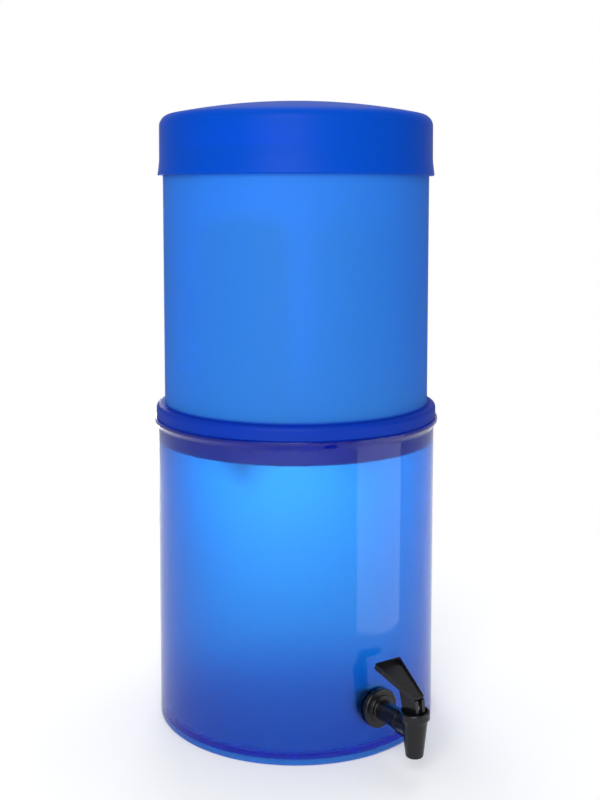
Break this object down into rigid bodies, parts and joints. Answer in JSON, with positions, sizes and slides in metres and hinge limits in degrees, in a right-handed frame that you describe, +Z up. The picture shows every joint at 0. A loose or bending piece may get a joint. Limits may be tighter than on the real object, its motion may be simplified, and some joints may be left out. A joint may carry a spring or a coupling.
{
  "type": "gravity water filter with tap",
  "caption": "Stacked round gravity water filter: frosted upper vessel with domed lid and filter candles, clear lower vessel, and a lever tap near the base.",
  "frame": {"origin": "centre of the foot ring's underside, on the surface the filter stands on", "axes": "+Z up along the vessels' axis, -Y outwards along the tap's shank, +X to the tap's right as seen from in front of the tap"},
  "size_m": [0.2346, 0.2858, 0.5036],
  "materials": {
    "clear_blue": "clear tinted copolyester, glossy outside",
    "frosted_blue": "translucent tinted copolyester, satin frosted outside",
    "lid_blue": "translucent tinted copolyester, satin",
    "black_plastic": "moulded black acetal, semi-gloss",
    "black_rubber": "soft washer rubber",
    "seal_rubber": "white silicone",
    "spring_steel": "stainless wire",
    "ceramic": "unglazed white ceramic",
    "carbon": "pressed carbon block",
    "white_plastic": "moulded white"
  },
  "bodies": {
    "base": {"lower_vessel": "clear_blue", "tap_body": "black_plastic", "tap_outer_washer": "black_rubber", "tap_inner_washer": "black_rubber", "tap_lock_nut": "black_plastic"},
    "upper": {"upper_vessel": "frosted_blue", "candle_1_ceramic_shell": "ceramic", "candle_1_carbon_core": "carbon", "candle_1_base": "white_plastic", "candle_1_seal_washer": "seal_rubber", "candle_1_wing_nut": "white_plastic", "candle_2_ceramic_shell": "ceramic", "candle_2_carbon_core": "carbon", "candle_2_base": "white_plastic", "candle_2_seal_washer": "seal_rubber", "candle_2_wing_nut": "white_plastic"},
    "lid": {"lid": "lid_blue"},
    "bonnet": {"tap_bonnet": "black_plastic", "tap_return_spring": "spring_steel"},
    "valve": {"tap_valve_stem": "white_plastic", "tap_seat_cup": "seal_rubber"},
    "handle": {"tap_handle": "black_plastic"}
  },
  "joints": [
    {"name": "upper_vessel_lift", "type": "slide", "parent": "base", "child": "upper", "axis": [0, 0, 1], "range_m": [0, 0.1]},
    {"name": "lid_lift", "type": "slide", "parent": "upper", "child": "lid", "axis": [0, 0, 1], "range_m": [0, 0.06]},
    {"name": "handle_swivel", "type": "hinge", "parent": "base", "child": "bonnet", "pos_m": [0, -0.15717, 0.04805], "axis": [0, 0, 1], "continuous": true},
    {"name": "valve_lift", "type": "slide", "parent": "bonnet", "child": "valve", "axis": [0, 0, 1], "range_m": [0, 0.00228], "deforming": ["tap_return_spring"]},
    {"name": "handle_press", "type": "hinge", "parent": "valve", "child": "handle", "pos_m": [0, -0.15717, 0.0525], "axis": [-1, 0, 0], "range_deg": [0, 25], "stiffness_Nm_per_rad": 0.05, "springref_deg": -22.92}
  ],
  "couplings": [
    {"joint": "valve_lift", "follows": "handle_press", "m_per_rad": 0.005}
  ]
}
